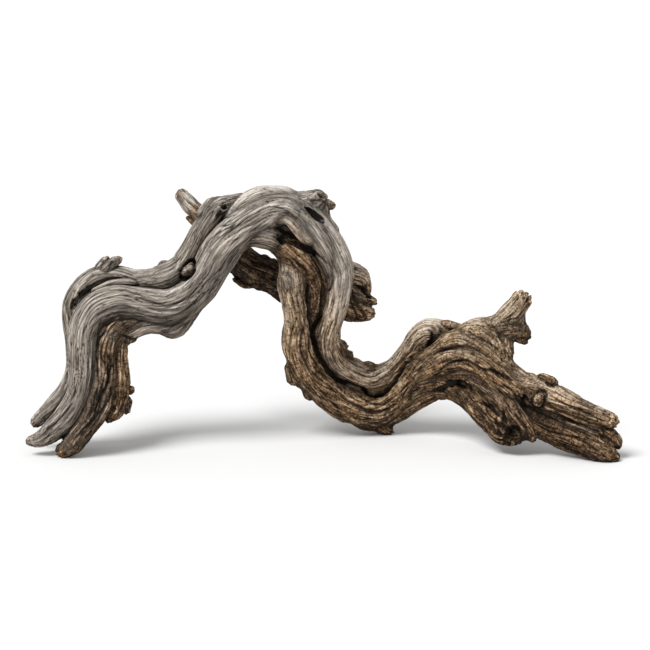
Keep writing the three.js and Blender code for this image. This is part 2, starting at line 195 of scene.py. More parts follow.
# Hollows and holes between the strands, cut from the joined wood: how softly, then the stations.
HOLLOWS = {
    "crown_hole": (1, (-16, -11, 245, 1.5), (-11, -10, 241, 3.5), (-5, -9, 236, 5), (0, -7, 232, 3.5)),
    "lip_recess": (2.5, (-43, -12, 216, 3.5), (-39, -10, 212, 4), (-34, -8, 211, 4.5), (-26, -6, 206, 5),
        (-17, -5, 201, 4.5), (-8, -3, 199, 3)),
    "arch_crease": (2.5, (-39, -10, 223, 2), (-41, -10, 216, 3), (-42, -9, 210, 2.5)),
    "valley": (2.5, (199, -39, 60, 4), (203, -43, 51, 5), (211, -49, 45, 5), (223, -53, 43, 4.5),
        (236, -58, 40, 3.5), (251, -63, 36, 2.5)),
    "low_groove": (2, (107, 11, 44, 1), (117, 7, 53, 1.8), (125, 1, 59, 2.5), (134, -5, 65, 2),
        (143, -11, 63, 1.2)),
    "swirl_hollow": (2, (111, 22, 118, 2), (114, 20, 111, 2.5), (113, 21, 104, 3), (108, 23, 97, 2)),
    "lobe_hollow": (1.5, (186, -55, 34, 4), (189, -57, 29, 7.5), (191, -57, 22, 6.5), (189, -47, 26, 6)),
    "lobe_slit": (1, (174, -49, 47, 1.2), (178, -53, 39, 2), (182, -57, 30, 3), (186, -59, 21, 2.5)),
    "left_bend_hollow": (1.5, (-249, -19, 145, 2.5), (-246, -14, 152, 4), (-239, -11, 160, 5),
        (-229, -10, 166, 4.5), (-218, -10, 170, 4), (-206, -10, 173, 3), (-192, -9, 173, 2)),
    "notch_cavity": (1.5, (-98, -8, 246, 2.5), (-98, 1, 242, 2)),
}

# Cracks and deep lines in the skin: how deep, then (x, y, z, half its width).
CRACKS = {
    "channel": (7, (-1, -5, 167, 0.8), (-1, -5, 150, 1.2), (-4, -2, 131, 1.5), (-10, 3, 115, 2),
        (-9, 9, 96, 2), (-1, 15, 78, 2), (14, 20, 63, 1.8), (31, 23, 55, 1.8), (44, 25, 49, 1.8),
        (54, 27, 45, 1.8), (64, 28, 50, 2.5), (75, 28, 61, 2.5), (82, 27, 73, 1.8), (90, 25, 85, 1.4),
        (99, 23, 93, 0.8)),
    "panel_left": (3, (-15, -7, 166, 1), (-15, -5, 145, 1.5), (-16, 1, 123, 1.5), (-17, 7, 102, 1)),
    "leg_crack": (3, (-214, -41, 127, 0.8), (-220, -47, 121, 1.2), (-222, -49, 104, 1), (-223, -51, 87, 1),
        (-221, -53, 75, 0.8)),
    "brown_crack": (3, (-211, -49, 94, 0.8), (-211, -51, 79, 1.4), (-217, -55, 65, 1.6),
        (-223, -57, 55, 1.2), (-226, -57, 42, 0.8)),
    "toe_crack": (3, (-214, -51, 59, 1), (-219, -55, 45, 1.2), (-227, -57, 33, 1.4), (-235, -57, 22, 1)),
    "grey_crack": (2.5, (-248, -51, 55, 0.8), (-258, -53, 43, 1.2), (-270, -53, 31, 1.2),
        (-281, -51, 21, 0.8)),
    "belly_crease": (3, (-213, -35, 129, 1), (-205, -35, 135, 1.2), (-191, -35, 136, 1),
        (-175, -33, 132, 1), (-161, -31, 128, 1.2), (-148, -29, 129, 1.5), (-138, -27, 135, 1.2),
        (-130, -25, 145, 0.8)),
    "limb_line_a": (2.5, (-185, -37, 144, 0.6), (-171, -35, 139, 1), (-155, -33, 138, 1.2),
        (-139, -31, 143, 1), (-128, -29, 153, 0.6)),
    "limb_line_b": (2, (-180, -35, 159, 0.6), (-165, -35, 153, 1), (-149, -33, 151, 1),
        (-133, -31, 159, 0.8), (-121, -29, 170, 0.5)),
    "armpit_crack": (4, (-198, -31, 120, 1), (-192, -27, 117, 1.8), (-184, -23, 117, 1.2)),
    "groove_ring": (5, (-139, -13, 181, 1.5), (-136, -11, 188, 1.5), (-130, -11, 191, 1.5),
        (-124, -13, 187, 1.5), (-123, -17, 180, 1.8), (-128, -19, 173, 1.8), (-135, -17, 173, 1.8),
        (-139, -13, 177, 1.5), (-139, -13, 182, 1.5)),
    "knot_lines": (2.5, (-135, -17, 185, 0.8), (-132, -19, 181, 1.3), (-133, -19, 176, 0.8)),
    "rear_branch_line": (4, (-89, 33, 164, 1), (-78, 33, 160, 1.8), (-66, 29, 163, 1.8),
        (-56, 25, 160, 1.5), (-45, 23, 153, 1)),
    "crown_line": (2.5, (-20, -7, 249, 0.8), (-15, -7, 240, 1.5), (-9, -7, 232, 1.2), (-1, -5, 227, 0.8)),
    "fan_a": (2.5, (-38, -5, 218, 0.8), (-29, -6, 211, 1.2), (-17, -7, 204, 1.4), (-5, -8, 196, 1.2),
        (3, -8, 188, 0.8)),
    "fan_b": (2.5, (-27, -5, 201, 0.8), (-15, -6, 194, 1.2), (-7, -6, 187, 1.2), (-2, -6, 177, 1),
        (-1, -5, 166, 0.8)),
    "fan_c": (2.5, (-26, -9, 190, 1), (-21, -9, 186, 1.5), (-16, -9, 179, 1.2), (-14, -7, 168, 0.8)),
    "fan_d": (2, (-11, -9, 202, 0.8), (-3, -9, 196, 1), (3, -9, 190, 1), (8, -9, 180, 1.2),
        (8, -8, 166, 1.2), (4, -7, 159, 1)),
    "left_strand_a": (2, (-26, -11, 133, 0.8), (-31, -9, 120, 1.2), (-34, -5, 106, 1), (-33, -1, 92, 0.7)),
    "left_strand_b": (2, (-20, -9, 120, 1), (-23, -5, 104, 1), (-19, 1, 87, 1.2), (-9, 7, 71, 1),
        (5, 13, 57, 0.7)),
    "outer_a": (2.5, (-33, 3, 87, 0.7), (-23, 9, 69, 1.2), (-9, 15, 55, 1.2), (7, 19, 43, 1),
        (24, 23, 32, 0.7)),
    "outer_b": (3, (17, 17, 46, 0.7), (30, 20, 37, 1.5), (44, 22, 29, 2), (60, 23, 28, 1.5),
        (75, 23, 36, 0.8)),
    "bend_low_a": (2, (30, 19, 54, 0.6), (40, 21, 47, 1.2), (50, 22, 37, 1.2), (62, 23, 36, 1),
        (77, 22, 47, 0.8), (89, 19, 60, 0.7)),
    "right_valley": (4, (109, 9, 49, 1), (118, 3, 55, 1.6), (125, -3, 61, 2), (134, -11, 66, 2),
        (141, -19, 66, 1.8), (147, -21, 60, 1)),
    "long_crack": (3.5, (118, 3, 78, 0.7), (127, -5, 85, 1.3), (136, -15, 90, 1.2), (145, -19, 91, 1.3),
        (153, -25, 87, 1.5), (159, -29, 84, 1.6), (167, -31, 84, 1.6), (177, -37, 81, 1.6),
        (188, -41, 78, 1)),
    "ridge_shadow": (3, (116, 7, 89, 1), (128, -1, 96, 1.6), (137, -9, 103, 1.6), (148, -17, 104, 1.5),
        (158, -21, 100, 1), (164, -25, 95, 0.7)),
    "top_crack_a": (2.5, (146, -9, 118, 0.6), (156, -13, 114, 1.1), (166, -19, 109, 1.1),
        (174, -21, 104, 1.2), (179, -23, 97, 0.7)),
    "top_crack_b": (3, (168, -17, 128, 0.7), (173, -19, 121, 1.3), (177, -21, 114, 1.5),
        (182, -21, 106, 1.3)),
    "top_crack_c": (2, (161, -15, 132, 0.6), (165, -17, 126, 0.9), (169, -18, 121, 0.6)),
    "branch_crack": (2.5, (177, -19, 129, 0.7), (186, -21, 133, 1.1), (196, -21, 135, 1.1),
        (200, -21, 142, 0.7)),
    "branch_end": (2.5, (199, -21, 149, 0.7), (203, -19, 154, 1.3), (205, -15, 156, 0.8)),
    "lobe_crack_a": (5, (176, -45, 47, 1), (178, -49, 38, 2), (182, -55, 29, 3), (186, -57, 21, 3),
        (190, -55, 15, 1.5)),
    "lobe_crack_b": (3, (173, -41, 42, 0.8), (172, -45, 34, 1.3), (174, -49, 25, 1.5), (179, -51, 18, 1)),
    "lobe_crack_c": (3, (151, -23, 50, 0.7), (160, -29, 49, 1.2), (168, -35, 47, 1.6), (173, -39, 40, 1)),
    "lobe_crack_d": (2.5, (148, -19, 40, 0.7), (157, -25, 34, 1), (165, -29, 26, 1)),
    "lobe_crack_e": (2.5, (178, -35, 69, 0.7), (186, -39, 67, 1.3), (192, -45, 59, 1.6), (198, -47, 51, 1)),
    "lobe_crack_f": (2, (176, -39, 64, 0.6), (182, -43, 55, 0.8), (187, -47, 45, 0.6)),
    "knot_ring": (4, (213, -49, 70, 1.5), (205, -51, 67, 1.8), (203, -51, 59, 2), (206, -53, 51, 1.8),
        (213, -53, 48, 1.5), (219, -53, 52, 1.5), (221, -51, 60, 1.5), (219, -49, 67, 1.5),
        (213, -49, 70, 1.5)),
    "bump_hollow": (4, (221, -39, 73, 1), (224, -41, 69, 2), (228, -41, 67, 1.2)),
    "finger_line_a": (3, (230, -51, 59, 0.8), (246, -55, 52, 1.3), (261, -61, 46, 1.3),
        (277, -65, 40, 0.8)),
    "finger_line_b": (3.5, (234, -57, 41, 1), (250, -61, 37, 1.8), (265, -65, 32, 1.6), (279, -67, 25, 1)),
    "finger_line_c": (2, (235, -41, 67, 0.6), (250, -49, 58, 0.9), (266, -55, 55, 0.9),
        (281, -61, 48, 0.7)),
    "low_finger_a": (2.5, (220, -49, 30, 0.7), (237, -55, 25, 1.1), (254, -61, 21, 1.2), (271, -67, 12, 1)),
    "low_finger_b": (2.5, (235, -53, 18, 0.7), (251, -57, 13, 1.1), (266, -61, 6, 1)),
    "stub_fan_a": (3, (29, 21, 155, 1), (32, 23, 144, 1.8), (39, 27, 132, 1.8), (44, 31, 123, 1)),
    "stub_hook": (6, (32, 29, 158, 1), (39, 31, 153, 2.5), (44, 33, 148, 3), (48, 35, 145, 1.5)),
    "stub_fan_b": (2.5, (27, 21, 149, 1), (29, 23, 137, 1.5), (35, 27, 126, 1)),
    "stub_fan_c": (2.5, (35, 25, 146, 0.8), (41, 29, 139, 1.3), (48, 33, 134, 0.8)),
    "stub_knots": (3, (107, 21, 114, 1), (112, 20, 108, 2), (110, 21, 99, 1.5), (103, 25, 92, 1)),
    "stub_knots_b": (3, (116, 21, 122, 0.8), (120, 20, 114, 1.5), (119, 19, 104, 1)),
    "crown_stub_a": (2.5, (-11, -5, 251, 0.7), (-3, -1, 250, 1.1), (6, 3, 247, 0.8)),
    "crown_stub_b": (3, (-5, -1, 259, 0.8), (-1, 1, 253, 1.5), (4, 3, 252, 1)),
}

NET_STEP = 1.6  # width of the first net's cells
BLOCK = 5  # fine cells along one side of a coarse block
REACH = 24.0  # how far from a strand its distance is still worked out
SAMPLE_STEP = 4.0  # spacing of the points that a strand's middle is cut into
RUN = 4  # how many pieces of a strand are looked at together
THINNEST = 0.5
SOFTEST_JOIN = max(join for join, *_ in STRANDS.values())
CORNERS = np.indices((2, 2, 2)).reshape(3, -1).T


def unit(vectors):
    length = np.linalg.norm(vectors, axis=-1, keepdims=True)
    return vectors / np.maximum(length, 1e-9)


def smoothstep(low, high, values):
    t = np.clip((values - low) / (high - low), 0, 1)
    return t * t * (3 - 2 * t)


def noise_tables():
    """A shuffled table of 256 numbers and 64 directions, the same every run."""
    shuffled = np.random.RandomState(11)
    table = shuffled.permutation(256).astype(np.int32)
    return np.concatenate([table, table, table]), unit(shuffled.normal(size=(64, 3)))


SHUFFLE, DIRECTIONS = noise_tables()


def noise(points, seed=0):
    """Smooth noise of about -1 to 1, one value for each row of points."""
    cell = np.floor(points).astype(np.int32)
    inside = points - cell
    cell = (cell + (seed * 17 % 251, seed * 31 % 241, seed * 7 % 239)) & 255
    ease = inside**3 * (inside * (inside * 6 - 15) + 10)
    total = np.zeros(len(points))
    for corner in CORNERS:
        i, j, k = (cell + corner).T
        pick = SHUFFLE[SHUFFLE[SHUFFLE[i] + j] + k] & 63
        slope = ((inside - corner) * DIRECTIONS[pick]).sum(axis=1)
        total += slope * np.where(corner, ease, 1 - ease).prod(axis=1)
    return total * 1.7


def smooth_path(stations):
    """Points about SAMPLE_STEP apart on a smooth curve through the stations."""
    if len(stations) == 1:
        return np.vstack([stations, stations + (1, 0, 0, 0)])
    before = 2 * stations[0] - stations[1]
    after = 2 * stations[-1] - stations[-2]
    ends = np.vstack([before, stations, after])
    rows = []
    for a, b, c, d in zip(ends, ends[1:], ends[2:], ends[3:]):
        count = max(1, round(np.linalg.norm((c - b)[:3]) / SAMPLE_STEP))
        t = np.arange(count)[:, None] / count
        curve = 2 * b + (c - a) * t
        curve = curve + (2 * a - 5 * b + 4 * c - d) * t**2
        curve = curve + (3 * b - a - 3 * c + d) * t**3
        rows.append(curve / 2)
    rows.append(stations[-1:])
    path = np.vstack(rows)
    path[:, 3] = np.maximum(path[:, 3], THINNEST)
    return path


class Strand:
    """Points along a strand's middle, their radii, and side directions carried along it."""

    def __init__(self, name, stations, join=0, brown=0, pale=0):
        self.join = join
        self.brown = brown
        self.pale = pale
        self.seed = sum(map(ord, name))
        path = smooth_path(np.array(stations, dtype=float))
        self.radius = path[:, 3]
        self.follow(path[:, :3])

    def follow(self, centre):
        """Measures the strand along a middle line."""
        self.centre = centre
        steps = np.linalg.norm(np.diff(self.centre, axis=0), axis=1)
        self.along = np.concatenate([[0], np.cumsum(steps)])
        self.tangent = unit(np.gradient(self.centre, axis=0))
        self.side = self.carried_side()
        self.up = np.cross(self.tangent, self.side)

    def carried_side(self):
        """A direction across the strand at each point, turned as little as possible from the last."""
        side = np.cross(self.tangent[0], (0.3, 1, 0.1))
        sides = []
        for tangent in self.tangent:
            side = unit(side - tangent * (side @ tangent))
            sides.append(side)
        return np.array(sides)

    def near(self, points, reach=REACH):
        """The rows of points within reach, each one's distance, and its nearest piece and place on it."""
        low = (self.centre - self.radius[:, None]).min(axis=0) - reach
        high = (self.centre + self.radius[:, None]).max(axis=0) + reach
        rows = np.flatnonzero(((points > low) & (points < high)).all(axis=1))
        local = points[rows]
        distance = np.full(len(rows), np.inf)
        piece = np.zeros(len(rows), dtype=int)
        share = np.zeros(len(rows))
        last = len(self.centre) - 1
        for first in range(0, last, RUN):
            run = slice(first, min(first + RUN, last) + 1)
            margin = self.radius[run].max() + reach
            low = self.centre[run].min(axis=0) - margin
            high = self.centre[run].max(axis=0) + margin
            close = np.flatnonzero(((local > low) & (local < high)).all(axis=1))
            for i in range(run.start, run.stop - 1):
                start = self.centre[i]
                edge = self.centre[i + 1] - start
                t = (local[close] - start) @ edge / (edge @ edge)
                held = np.clip(t, 0, 1)
                gap = local[close] - start - held[:, None] * edge
                radius = self.radius[i] + held * (self.radius[i + 1] - self.radius[i])
                found = np.sqrt((gap * gap).sum(axis=1)) - radius
                better = found < distance[close]
                hit = close[better]
                distance[hit] = found[better]
                piece[hit] = i
                share[hit] = t[better]
        keep = distance < reach
        return rows[keep], distance[keep], piece[keep], share[keep]

    def between(self, values, piece, share):
        """A value kept at the strand's points, read at places between them."""
        held = np.clip(share, 0, 1)
        if values.ndim > 1:
            held = held[:, None]
        return values[piece] * (1 - held) + values[piece + 1] * held

    def outward(self, points, piece, share):
        return unit(points - self.between(self.centre, piece, share))

    def places(self, points, piece, share):
        """How far along the strand each point is, past its ends too, and how far to each side."""
        gap = points - self.between(self.centre, piece, share)
        past = gap * self.between(self.tangent, piece, share)
        along = self.between(self.along, piece, share) + past.sum(axis=1)
        u = (gap * self.between(self.side, piece, share)).sum(axis=1)
        v = (gap * self.between(self.up, piece, share)).sum(axis=1)
        return along, u, v


WOOD_STRANDS = [Strand(name, row[3:], *row[:3]) for name, row in STRANDS.items()]
HOLLOW_STRANDS = [Strand(name, row[1:], row[0]) for name, row in HOLLOWS.items()]


LEAST_SHARE = 0.01  # a strand with a smaller share of a point gives it nothing


class Survey:
    """How deep each point is in the wood (below 0 is inside), and the way out from there."""

    def __init__(self, points, keep_layers=False):
        count = len(points)
        self.depth = np.full(count, REACH)
        self.way_out = np.zeros((count, 3))
        self.seam = np.zeros(count)
        self.carved = np.zeros(count)
        self.layers = []
        for strand in WOOD_STRANDS:
            rows, closeness, weight, piece, share = self.take_in(points, strand, 1)
            self.seam[rows] = np.maximum(closeness, self.seam[rows] * (1 - weight))
            if keep_layers:
                self.layers.append((strand, rows, weight, piece, share))
        for strand in HOLLOW_STRANDS:
            rows, _, weight, _, _ = self.take_in(points, strand, -1)
            self.carved[rows] = np.maximum(self.carved[rows], weight)
        under = self.depth < -points[:, 2]
        self.depth[under] = -points[under, 2]
        self.way_out[under] = (0, 0, -1)

    def take_in(self, points, strand, sign):
        """Softly joins a strand (sign 1) or cuts it out (sign -1), and says where and how much."""
        rows, distance, piece, share = strand.near(points)
        distance = sign * distance
        old = self.depth[rows]
        closeness = np.clip(1 - np.abs(distance - old) / strand.join, 0, 1)
        wins = (distance - old) * sign < 0
        best = np.where(wins, distance, old)
        self.depth[rows] = best - sign * closeness**2 * strand.join / 4
        weight = np.where(wins, 1 - closeness / 2, closeness / 2)
        way = sign * strand.outward(points[rows], piece, share)
        self.way_out[rows] += weight[:, None] * (way - self.way_out[rows])
        return rows, closeness, weight, piece, share

    def shares(self):
        """Each strand's final share of the points it is near: (strand, rows, share, piece, place)."""
        left = np.ones(len(self.depth))
        found = []
        for strand, rows, weight, piece, share in reversed(self.layers):
            mine = weight * left[rows]
            left[rows] -= mine
            keep = mine > LEAST_SHARE
            found.append((strand, rows[keep], mine[keep], piece[keep], share[keep]))
        return found


NET_MARGIN = 6
NET_BELOW_FLOOR = 3.3 * NET_STEP  # not whole cells, so that none of them ends at the floor
HALF_DIAGONAL = 0.87  # of a block, as a share of its side
SMOOTHING_ROUNDS = 3


def net_values():
    """The wood's depth on a fine grid, worked out only in the coarse blocks that its surface crosses."""
    low = np.min([s.centre.min(axis=0) - s.radius.max() for s in WOOD_STRANDS], axis=0) - NET_MARGIN
    high = np.max([s.centre.max(axis=0) + s.radius.max() for s in WOOD_STRANDS], axis=0) + NET_MARGIN
    low[2] = -NET_BELOW_FLOOR
    size = NET_STEP * BLOCK
    blocks = np.ceil((high - low) / size).astype(int)
    index = np.indices(blocks).reshape(3, -1).T
    middle = low + (index + 0.5) * size - NET_STEP / 2
    coarse = Survey(middle).depth
    values = np.kron(np.sign(coarse).reshape(blocks), np.ones((BLOCK,) * 3))
    near = index[np.abs(coarse) < size * HALF_DIAGONAL + SOFTEST_JOIN / 2]
    inner = np.indices((BLOCK,) * 3).reshape(3, -1).T
    cells = (near[:, None, :] * BLOCK + inner[None]).reshape(-1, 3)
    values[tuple(cells.T)] = Survey(low + cells * NET_STEP).depth
    return values, low


def net_vertices(values, low):
    """A vertex in every cell that the surface crosses, and a grid of the vertices' numbers."""
    cells = [size - 1 for size in values.shape]
    windows = [tuple(slice(o, o + n) for o, n in zip(corner, cells)) for corner in CORNERS]
    count = sum((values[window] < 0).astype(np.int8) for window in windows)
    crossed = (count > 0) & (count < 8)
    at_corner = np.stack([values[window][crossed] for window in windows], axis=1)
    place = np.zeros((len(at_corner), 3))
    hits = np.zeros((len(at_corner), 1))
    for a, corner_a in enumerate(CORNERS):
        for b, corner_b in enumerate(CORNERS):
            edge = corner_b - corner_a
            if edge.sum() != 1 or np.abs(edge).sum() != 1:
                continue
            va, vb = at_corner[:, a], at_corner[:, b]
            passes = (va < 0) != (vb < 0)
            t = np.where(passes, va / np.where(passes, va - vb, 1), 0)
            place += passes[:, None] * (corner_a + t[:, None] * edge)
            hits += passes[:, None]
    vertices = low + NET_STEP * (np.argwhere(crossed) + place / hits)
    number = np.full(crossed.shape, -1)
    number[crossed] = np.arange(len(vertices))
    return vertices, number


def net_quads(inside, number):
    """A quad round every edge of the grid that the surface crosses, facing out of the wood."""
    quads = []
    for axis in range(3):
        here = [slice(1, n) for n in number.shape]
        here[axis] = slice(0, number.shape[axis])
        there = list(here)
        there[axis] = slice(1, number.shape[axis] + 1)
        start, end = inside[tuple(here)], inside[tuple(there)]
        around = np.roll([(0, 1, 1), (0, 0, 1), (0, 0, 0), (0, 1, 0)], axis, axis=1)
        for leaving, order in ((start & ~end, 1), (end & ~start, -1)):
            edge = np.argwhere(leaving) + np.roll((0, 1, 1), axis)
            ring = [number[tuple((edge - step).T)] for step in around]
            quads.append(np.stack(ring[::order], axis=1))
    return np.vstack(quads)


def surface_net(values, low):
    """A net of quads over the surface where the grid's values pass through 0."""
    vertices, number = net_vertices(values, low)
    return vertices, net_quads(values < 0, number)


def edges_of(quads):
    sides = np.vstack([quads[:, [i, (i + 1) % 4]] for i in range(4)])
    return np.unique(np.sort(sides, axis=1), axis=0)


def neighbour_mean(values, edges):
    """The mean of each vertex's neighbours."""
    count = np.bincount(edges.ravel(), minlength=len(values))
    sums = np.zeros_like(values)
    for column in range(values.shape[1]):
        for here, there in ((0, 1), (1, 0)):
            weights = values[edges[:, there], column]
            sums[:, column] += np.bincount(edges[:, here], weights, minlength=len(values))
    return sums / np.maximum(count, 1)[:, None]


def onto_wood(vertices, survey):
    """Moves vertices straight to the surface."""
    slope = survey.way_out
    square = np.maximum((slope * slope).sum(axis=1), 0.3)
    step = np.clip(survey.depth / square, -NET_STEP, NET_STEP)
    return vertices - step[:, None] * slope


def smooth_skin():
    """The skin's vertices and quads, evened out and laid back on the wood."""
    vertices, quads = surface_net(*net_values())
    edges = edges_of(quads)
    for _ in range(SMOOTHING_ROUNDS):
        vertices = vertices + 0.5 * (neighbour_mean(vertices, edges) - vertices)
        vertices = onto_wood(vertices, Survey(vertices))
    return vertices, quads


def unwrap(piece):
    """Lays the smooth skin out flat, so that colours and fibres can be stored on it."""
    piece.data.uv_layers.new(name="OFBake")
    bpy.context.view_layer.objects.active = piece
    piece.select_set(True)
    bpy.ops.object.mode_set(mode="EDIT")
    bpy.ops.mesh.select_all(action="SELECT")
    bpy.ops.uv.smart_project(angle_limit=math.radians(66), island_margin=0.002)
    bpy.ops.object.mode_set(mode="OBJECT")


def split_once(piece):
    """Splits every quad into four, keeping the flat layout."""
    split = piece.modifiers.new("split", "SUBSURF")
    split.subdivision_type = "SIMPLE"
    split.levels = 1
    evaluated = piece.evaluated_get(bpy.context.evaluated_depsgraph_get())
    mesh = bpy.data.meshes.new_from_object(evaluated)
    piece.modifiers.clear()
    old = piece.data
    piece.data = mesh
    bpy.data.meshes.remove(old)


def new_piece():
    vertices, quads = smooth_skin()
    mesh = bpy.data.meshes.new("driftwood_skin")
    mesh.from_pydata(vertices * MM, [], quads.tolist())
    mesh.update()
    piece = bpy.data.objects.new("driftwood_skin", mesh)
    bpy.context.scene.collection.objects.link(piece)
    unwrap(piece)
    split_once(piece)
    return piece


Layer = namedtuple("Layer", "length width height")

# Layers of relief along the fibres: one wave's length and width, and its height, in millimetres.
FLUTES = Layer(120, 10, 1.15)
LUMPS = Layer(26, 14, 1.0)
KNOBS = Layer(13, 9, 1.6)
STRIPS = Layer(110, 4.2, 0.6)
THREADS = Layer(70, 2.1, 0.45)
SWAY = Layer(40, 15, 3.0)  # how far the fibres wander to the side
SPLITS = Layer(60, 20, -1.1)  # where the strips have split apart, and how deep
TWIST = 0.004  # the most that a strand's fibres turn round it, in radians per millimetre


def fibres(strand, along, u, v):
    """The height (mm), the tone and the crack depth of one strand's fibres at places in it."""
    seed = strand.seed
    rough = min(strand.brown + 0.2, 1.0)
    turn = TWIST * (seed % 5 - 2) * along
    u, v = u * np.cos(turn) - v * np.sin(turn), u * np.sin(turn) + v * np.cos(turn)

    def ripple(layer, number):
        places = [along / layer.length, u / layer.width, v / layer.width]
        return noise(np.stack(places, axis=1), seed + number)

    sway = SWAY.height + 1.5 * rough
    sway_u, sway_v = sway * ripple(SWAY, 1), sway * ripple(SWAY, 2)
    u, v = u + sway_u, v + sway_v
    flute = ripple(FLUTES, 3)
    lump = ripple(LUMPS, 4)
    knob = np.abs(ripple(KNOBS, 9))
    strip = ripple(STRIPS, 5)
    thread = ripple(THREADS, 6)
    split = smoothstep(0.11, 0.0, np.abs(strip)) * smoothstep(-0.3, 0.3, ripple(SPLITS, 8))
    height = FLUTES.height * flute + (LUMPS.height + 0.5 * rough) * lump
    height = height + STRIPS.height * strip + THREADS.height * thread
    height += KNOBS.height * rough * knob + (SPLITS.height - 0.5 * rough) * split
    tone = 0.5 + 0.13 * flute + 0.16 * strip + 0.22 * thread + 0.2 * rough * knob - 0.35 * split
    return height, tone, split


FRAY_DEPTH = 4.5  # how far apart the fibres of a broken end stop, at most


def broken_end(strand, along, u, v, radius):
    """How near the strand's ends each point is, and the moves in millimetres that make them ragged."""

    def bundles(width, number):
        flat = np.stack([u / width, v / width], axis=1)
        return noise(flat @ ((1, 0, 0.3), (0, 1, 0.3)), strand.seed + number)

    uneven = 0.5 * bundles(4.5, 0) + 0.8 * bundles(2, 1)
    reach = np.minimum(0.3 * radius, FRAY_DEPTH) * uneven
    start = smoothstep(-0.6, 0.6, -along / radius)
    end = smoothstep(-0.6, 0.6, (along - strand.along[-1]) / radius)
    move = (reach * end)[:, None] * strand.tangent[-1] - (reach * start)[:, None] * strand.tangent[0]
    return start + end, move


CRACK_REACH = 4
CRACK_SETTLING = 8  # how many times the cracks' lines are moved onto the skin


def crack_lines():
    """Each crack's depth and its line, laid on the wood's skin."""
    lines = [Strand(name, row[1:]) for name, row in CRACKS.items()]
    centre = np.vstack([line.centre for line in lines])
    for _ in range(CRACK_SETTLING):
        survey = Survey(centre)
        step = np.clip(survey.depth, -SAMPLE_STEP, SAMPLE_STEP)
        centre = centre - step[:, None] * survey.way_out
    ends = np.cumsum([len(line.centre) for line in lines])
    for line, laid in zip(lines, np.split(centre, ends[:-1])):
        line.follow(laid)
    return [(row[0], line) for row, line in zip(CRACKS.values(), lines)]


def cracks(points):
    """How deep (mm) and how dark the cracks are at points on the skin."""
    depth = np.zeros(len(points))
    dark = np.zeros(len(points))
    for deepest, line in crack_lines():
        rows, gap, piece, share = line.near(points, CRACK_REACH)
        half_width = line.between(line.radius, piece, share)
        uneven = 1 + 0.35 * noise(points[rows] / 6, line.seed)
        inward = np.clip(1 - (gap + half_width) / (1.6 * half_width * uneven), 0, 1)
        taper = np.minimum(half_width, 1.5) / 1.5
        depth[rows] = np.maximum(depth[rows], deepest * taper * smoothstep(0, 0.8, inward))
        dark[rows] = np.maximum(dark[rows], smoothstep(0, 0.5, inward) * (0.55 + 0.45 * taper))
    return depth, dark


STRAND_OFFSET = 100.0  # keeps the strands' fibres apart in the material's noises
FULL_RELIEF_RADIUS = 12  # a strand this thick has the full relief
COVER_DISTANCES = (4.0, 10.0, 20.0)
SEAM_DEPTH = 1.2  # how deep the line is where two strands meet
END_BROWN = 0.35  # how much browner the broken ends are, which weathered for less time
BURIED_BROWN = 0.5  # how much browner the low right half is, which lay deeper in the ground
PAINTED_TOP_LIGHT = 0.09  # how much paler the highest parts are painted: painted light on the tops
# How dark the carved hollows and holes are painted: painted shade.
HOLLOW_PAINTED_SHADE = 0.85


class Skin:
    """What the strands give at each point of the skin."""

    def __init__(self, points, survey):
        count = len(points)
        self.height, self.tone, self.split, self.brown = (np.zeros(count) for _ in range(4))
        self.grain, self.fray = np.zeros((count, 3)), np.zeros((count, 3))
        leading = np.zeros(count)
        for strand, rows, share, piece, place in survey.shares():
            along, u, v = strand.places(points[rows], piece, place)
            radius = strand.between(strand.radius, piece, place)
            self.add_fibres(strand, rows, share, (along, u, v), radius)
            near_end, ragged = broken_end(strand, along, u, v, radius)
            self.brown[rows] += share * (strand.brown + END_BROWN * near_end)
            self.fray[rows] += share[:, None] * ragged
            leads = share > leading[rows]
            leading[rows[leads]] = share[leads]
            offset = STRAND_OFFSET * (strand.seed % 13)
            self.grain[rows[leads]] = np.stack([along + offset, u, v], axis=1)[leads]

    def add_fibres(self, strand, rows, share, places, radius):
        """Adds a strand's fibres, finer and shallower where the strand is thin."""
        along, u, v = places
        scale = (strand.radius.mean() / radius) ** 0.6
        height, tone, split = fibres(strand, along, u * scale, v * scale)
        self.height[rows] += share * height * np.clip(radius / FULL_RELIEF_RADIUS, 0.35, 1.1)
        self.tone[rows] += share * (tone + strand.pale)
        self.split[rows] += share * split


def covered(points, out):
    """How far other wood covers the way out from each point, from 0 to 1: the amount of shade painted onto
    the wood there.
    """
    painted_shade = np.zeros(len(points))
    for ahead in COVER_DISTANCES:
        open_way = Survey(points + out * ahead).depth / ahead
        painted_shade += np.clip(1 - open_way, 0, 1) / len(COVER_DISTANCES)
    return painted_shade


